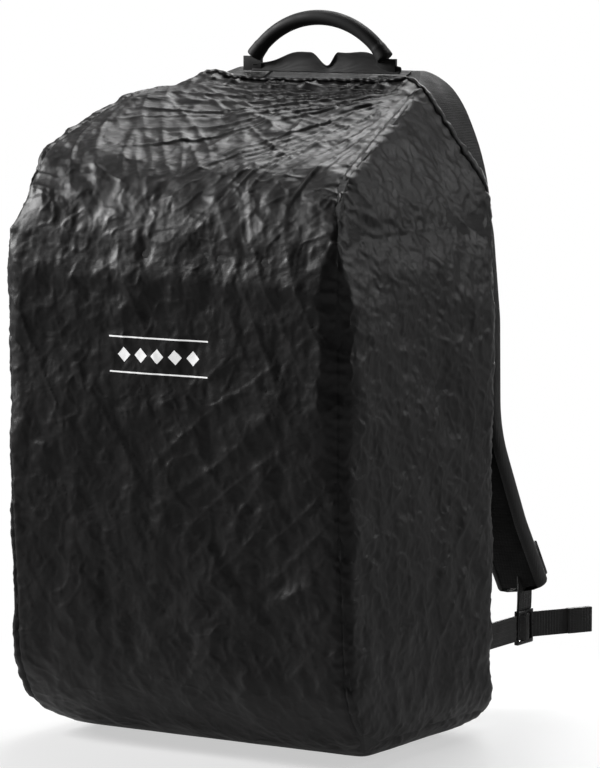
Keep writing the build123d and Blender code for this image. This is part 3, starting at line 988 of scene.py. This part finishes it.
def webbing_band(name, points, across, width=20 * MM, thickness=1.6 * MM, ridges_across=5):
    """Flat webbing along points, with selvedges and lengthways ribs; across is its width direction."""
    points = np.array(points)
    ahead = np.gradient(points, axis=0)
    ahead /= np.linalg.norm(ahead, axis=1)[:, None]
    across = np.array(across) / np.linalg.norm(across)
    up = np.cross(ahead, across)
    count = ridges_across * 4
    top = [(-0.5 + k / count, 0.5 + 0.11 * math.cos(k / 4 * 2 * math.pi)) for k in range(count + 1)]
    profile = top + [(-a, -b) for a, b in top]
    verts = []
    for k, point in enumerate(points):
        for a, b in profile:
            verts.append(point + across * a * width + up[k] * b * thickness)
    return mesh_object(name, verts, sweep_faces(len(points), len(profile)))


def lower_webbing():
    """The webbing from each anchor wing to its ladder lock, as a straight flat band."""
    for side_name, side in SIDES:
        node = f"lower_webbing_{side_name}"
        low, high = box(node)
        middle = (low + high) / 2
        points = [(middle[0], y, middle[2]) for y in np.linspace(low[1], high[1], 24)]
        band = webbing_band(f"adjuster_webbing_{side_name}", points, (0, 0, 1))
        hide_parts(node)
        band.data.materials.append(MATERIALS["webbing"])
        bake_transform(band)


def lock_webbing():
    """The loop that holds each ladder lock to its pad, and the webbing over the lock's middle bar."""
    for side_name, side in SIDES:
        low, high = box(f"ladder_lock_{side_name}")
        x, y, z = (low + high) / 2
        drop = np.linspace(0, 1, 14)
        points = [(x - side * 2.5 * MM * (1 - t) ** 2, y + 4 * MM * (1 - t), z + (44 - 31 * t) * MM)
                  for t in drop]
        loop = webbing_band(f"lock_loop_{side_name}", points, (0, 1, 0))
        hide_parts(f"strap_tab_{side_name}")
        finish_piece(loop, f"strap_{side_name}", "webbing")
        reach = np.array([-14, -11, -8, -5, -2.5, 0, 2.5, 5, 8, 11, 14]) * MM
        rise = np.array([0, -0.6, -1.5, 0.6, 2.6, 3.0, 2.6, 0.6, -1.0, -0.5, 0]) * MM
        along = np.linspace(reach[0], reach[-1], 44)
        over = np.interp(along, reach, rise)
        over[1:-1] = (over[:-2] + 2 * over[1:-1] + over[2:]) / 4
        points = [(x + side * up, y + run, z) for run, up in zip(along, over)]
        wrap = webbing_band(f"lock_threading_{side_name}", points, (0, 0, 1))
        finish_piece(wrap, f"strap_{side_name}", "webbing")


HARD_PARTS = (
    ("ladder_lock", "ladder_lock_frame", 0.9, None),
    ("strap_tail", "strap_free_end", 0.45, None),
    ("sternum_slider", "chest_slider", 0.8, None),
    ("sternum_buckle", "chest_buckle", 1.2, None),
    ("zip_slider", "zip_slider_body", 0.4, None),
    ("zip_pull", "zip_pull_tab", 0.5, None),
    ("handle_tab", "handle_end_tab", 1.0, "grip_rubber"),
    ("anchor_wing", "anchor_wing_cloth", 0.6, None),
)


def hardware():
    """Rounds over the hard parts: each has a CAD node, a name, an edge width in mm and a material."""
    for side_name, _ in SIDES:
        for node, name, width, material in HARD_PARTS:
            soften(f"{node}_{side_name}", f"{name}_{side_name}", width * MM, material)


# ---------------------------------------------------------------- carry handle

def carry_handle():
    """Moulded grip: round in the middle, flatter towards its feet, with a parting line and end collars."""
    low, high = box("handle_grip")
    radius = GRIP_RADIUS
    middle_y = (low[1] + high[1]) / 2
    half_span = (high[0] - low[0]) / 2 - radius * 0.75
    foot_z = low[2] + radius * 0.6
    crown_z = high[2] - radius
    rise = crown_z - foot_z
    arc_radius = (half_span ** 2 + rise ** 2) / (2 * rise)
    reach = math.asin(min(1, half_span / arc_radius)) if rise < arc_radius else math.pi / 2
    verts = []
    for k in range(GRIP_RINGS):
        part = k / (GRIP_RINGS - 1) * 2 - 1
        angle = part * reach
        drop = arc_radius * (1 - math.cos(angle))
        centre = np.array([math.sin(angle) * arc_radius, middle_y, crown_z - drop])
        out = np.array([math.sin(angle), 0, math.cos(angle)])
        end = step(0.8, 1.0, abs(part))
        collar = math.exp(-((abs(part) - 0.86) / 0.018) ** 2)
        thick = radius * (1 + 0.16 * end + 0.05 * collar)
        wide = radius * (1 + 0.18 * end + 0.05 * collar)
        for m in range(GRIP_AROUND):
            turn = 2 * math.pi * m / GRIP_AROUND
            seam = 1 + 0.03 * math.exp(-(min(abs(math.sin(turn)), 1) / 0.08) ** 2)
            sideways = np.array([0, math.sin(turn) * wide, 0])
            verts.append(centre + out * math.cos(turn) * thick * seam + sideways)
    grip = mesh_object("carry_grip", verts, sweep_faces(GRIP_RINGS, GRIP_AROUND))
    subdivide(grip, 1)
    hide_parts("handle_grip")
    finish_piece(grip, "handle", "grip_rubber")


def top_flaps():
    """The pack's own two top flaps, meeting in a notch between the handle's feet."""
    count, rows = 90, 12
    y_base = 86.5 * MM
    verts, faces = [], []
    for layer in (0, 1):
        for k in range(count + 1):
            x = (-60 + 132 * k / count) * MM
            left = FLAP_RISE * rise_mm(-62, -10, x) * rise_mm(7, -7, x)
            right = FLAP_RISE * rise_mm(8, 17, x) * rise_mm(74, 42, x)
            top = FLAP_TOP_Z + max(left, right)
            top += 0.5 * MM * math.sin(x / (5 * MM))
            for m in range(rows + 1):
                part = m / rows
                y = y_base + layer * 2.2 * MM + 2.5 * MM * math.sin(part * 2.6)
                y += 0.8 * MM * math.sin(x / (9 * MM))
                verts.append((x, y, FLAP_FOOT_Z + (top - FLAP_FOOT_Z) * part))
    size = rows + 1
    half = (count + 1) * size
    for k in range(count):
        for m in range(rows):
            a = k * size + m
            faces.append((a, a + size, a + size + 1, a + 1))
            faces.append((half + a, half + a + 1, half + a + size + 1, half + a + size))
        top, bottom = k * size + rows, k * size
        faces.append((top, top + size, half + top + size, half + top))
        faces.append((bottom, half + bottom, half + bottom + size, bottom + size))
    for k in (0, count):
        for m in range(rows):
            a = k * size + m
            side = (a, a + 1, half + a + 1, half + a)
            faces.append(side if k == 0 else tuple(reversed(side)))
    flaps = mesh_object("pack_top_flaps", verts, faces)
    subdivide(flaps, 1)
    finish_piece(flaps, "pack", "pack_fabric")


# ---------------------------------------------------------------- piping, stitches

def panel_piping(name, body, half, low, high, corner, y, radius):
    """Round piping along a rounded rectangle in a plane that faces back."""
    points = []
    for cx, cz, start in ((half - corner, high - corner, 0), (-half + corner, high - corner, 90),
                          (-half + corner, low + corner, 180), (half - corner, low + corner, 270)):
        for k in range(11):
            angle = math.radians(start + 9 * k)
            points.append((cx + corner * math.cos(angle), y, cz + corner * math.sin(angle)))
    ring = []
    for a, b in zip(points, points[1:] + points[:1]):
        a, b = np.array(a), np.array(b)
        count = max(1, int(np.linalg.norm(b - a) / (6 * MM)))
        ring.extend(a + (b - a) * k / count for k in range(count))
    ring = np.array(ring)
    corners = np.linspace(0, 2 * np.pi, 10, endpoint=False)
    tube = ring_tube(name, ring, np.tile([0.0, 1.0, 0.0], (len(ring), 1)),
                     lambda k: [(radius * math.cos(t), radius * math.sin(t)) for t in corners])
    finish_piece(tube, body, "pack_fabric", "edge_binding")


def stitches(name, body, rows):
    """Rows of short thread stitches; each row is (start, end, outward)."""
    verts, faces = [], []
    for start, end, outward in rows:
        start, end, outward = (np.array(v, dtype=float) for v in (start, end, outward))
        length = np.linalg.norm(end - start)
        along = (end - start) / length
        across = np.cross(along, outward)
        for k in range(int(length / STITCH_PITCH)):
            centre = start + along * (k + 0.5) * STITCH_PITCH
            base = len(verts)
            for a, w in ((-1.05, 0.3), (-0.5, 1.0), (0.5, 1.0), (1.05, 0.3)):
                for m in range(6):
                    turn = 2 * math.pi * m / 6
                    verts.append(centre + along * a * MM + across * STITCH_RADIUS * w * math.cos(turn)
                                 + outward * STITCH_RADIUS * w * math.sin(turn))
            for ring in range(3):
                for m in range(6):
                    a, b = base + ring * 6 + m, base + ring * 6 + (m + 1) % 6
                    faces.append((a, b, b + 6, a + 6))
            faces.append(tuple(base + m for m in reversed(range(6))))
            faces.append(tuple(base + 18 + m for m in range(6)))
    finish_piece(mesh_object(name, verts, faces), body, "webbing", "thread")


def back_details():
    """Piping round the rear door and rows of stitches along its edges."""
    low, high = box("door_panel")
    panel_piping("door_piping", "door", high[0] - 1.5 * MM, low[2] + 1.5 * MM, high[2] - 1.5 * MM, 23 * MM,
                 high[1], 1.7 * MM)
    rows = []
    face = high[1] + 0.1 * MM
    for z in (low[2] + 10 * MM, high[2] - 56 * MM):
        rows.append(((low[0] + 22 * MM, face, z), (high[0] - 22 * MM, face, z), (0, 1, 0)))
    for x in (low[0] + 9 * MM, high[0] - 9 * MM):
        rows.append(((x, face, low[2] + 24 * MM), (x, face, high[2] - 24 * MM), (0, 1, 0)))
    stitches("door_stitching", "door", rows)


# ---------------------------------------------------------------- stage

def make_stage():
    """Pale floor that turns into the white surroundings away from the pack."""
    floor = mesh_object("floor", [(-9, -9, 0), (9, -9, 0), (9, 9, 0), (-9, 9, 0)], [(0, 1, 2, 3)])
    floor.location.z = -FLOOR_GAP
    material = bpy.data.materials.new("floor_white")
    material.use_nodes = True
    tree = material.node_tree
    shader = tree.nodes["Principled BSDF"]
    shader.inputs["Base Color"].default_value = (0.9, 0.9, 0.9, 1)
    shader.inputs["Roughness"].default_value = 0.55
    shader.inputs["Specular IOR Level"].default_value = 0.2
    place = add_node(tree, "TexCoord")
    reach = add_node(tree, "VectorMath", {0: place.outputs["Object"]})
    reach.operation = "LENGTH"
    fade = add_node(tree, "MapRange", {"Value": reach.outputs["Value"]},
                    {"From Min": 0.16, "From Max": 0.46, "To Min": FLOOR_LEAST_GLOW})
    fade.interpolation_type = "SMOOTHSTEP"
    seen = add_node(tree, "LightPath").outputs["Is Camera Ray"]
    strength = add_node(tree, "MapRange", {"Value": seen}, {"To Min": FLOOR_LIGHT})
    glow = add_node(tree, "Emission", {"Strength": strength.outputs["Result"]}, {"Color": WHITE})
    mix = add_node(tree, "MixShader", {"Fac": fade.outputs["Result"], 1: shader.outputs["BSDF"],
                                       2: glow.outputs["Emission"]})
    tree.links.new(mix.outputs["Shader"], tree.nodes["Material Output"].inputs["Surface"])
    floor.data.materials.append(material)


def make_world():
    """White surroundings to look at, dimmer as a source of light, so that black cloth stays black."""
    world = bpy.data.worlds.new("studio")
    world.use_nodes = True
    tree = world.node_tree
    shown = tree.nodes["Background"]
    shown.inputs["Color"].default_value = WHITE
    shown.inputs["Strength"].default_value = 1.0
    lit = add_node(tree, "Background", None, {"Color": WHITE, "Strength": WORLD_LIGHT})
    seen = add_node(tree, "LightPath").outputs["Is Camera Ray"]
    mix = add_node(tree, "MixShader", {"Fac": seen, 1: lit.outputs["Background"],
                                       2: shown.outputs["Background"]})
    tree.links.new(mix.outputs["Shader"], tree.nodes["World Output"].inputs["Surface"])
    bpy.context.scene.world = world
    bpy.context.scene.view_settings.view_transform = "Standard"


def area_light(name, place, target, size, power):
    data = bpy.data.lights.new(name, "AREA")
    data.shape = "RECTANGLE"
    data.size, data.size_y = size
    data.energy = power
    light = link(bpy.data.objects.new(name, data))
    light.location = place
    aim = Vector(target) - Vector(place)
    light.rotation_euler = aim.to_track_quat("-Z", "Y").to_euler()


def make_lights():
    area_light("top_back", (-0.25, 1.1, 1.9), (0, 0, 0.35), (1.3, 0.7), 27)
    area_light("back_fill", (-0.75, 2.4, 0.9), (0, 0, 0.28), (1.0, 1.2), 34)
    area_light("left", (-2.0, -0.5, 1.3), (0, 0, 0.25), (0.4, 1.2), 62)
    area_light("right", (1.5, 1.7, 1.1), (0, 0, 0.25), (0.4, 1.2), 8)


def make_camera():
    data = bpy.data.cameras.new("camera")
    data.lens = VIEW_LENS
    data.sensor_width = SENSOR_WIDTH
    camera = link(bpy.data.objects.new("camera", data))
    azimuth, elevation = math.radians(VIEW_AZIMUTH), math.radians(VIEW_ELEVATION)
    back = Vector((math.sin(azimuth) * math.cos(elevation), -math.cos(azimuth) * math.cos(elevation),
                   math.sin(elevation)))
    camera.location = VIEW_TARGET + back * VIEW_DISTANCE
    camera.rotation_euler = (-back).to_track_quat("-Z", "Y").to_euler()
    bpy.context.scene.camera = camera


# ---------------------------------------------------------------- the whole scene

SLOTS = {part["node"]: part["material_slot"] for part in frame["record"]["subparts"]}
MATERIALS = make_materials()

make_world()
make_stage()
make_lights()
make_camera()
for node, slot in SLOTS.items():
    materials = frame["nodes"][node].data.materials
    materials.clear()
    materials.append(MATERIALS[slot])
make_cover()
back_padding()
shoulder_straps()
lower_webbing()
lock_webbing()
hardware()
carry_handle()
top_flaps()
back_details()
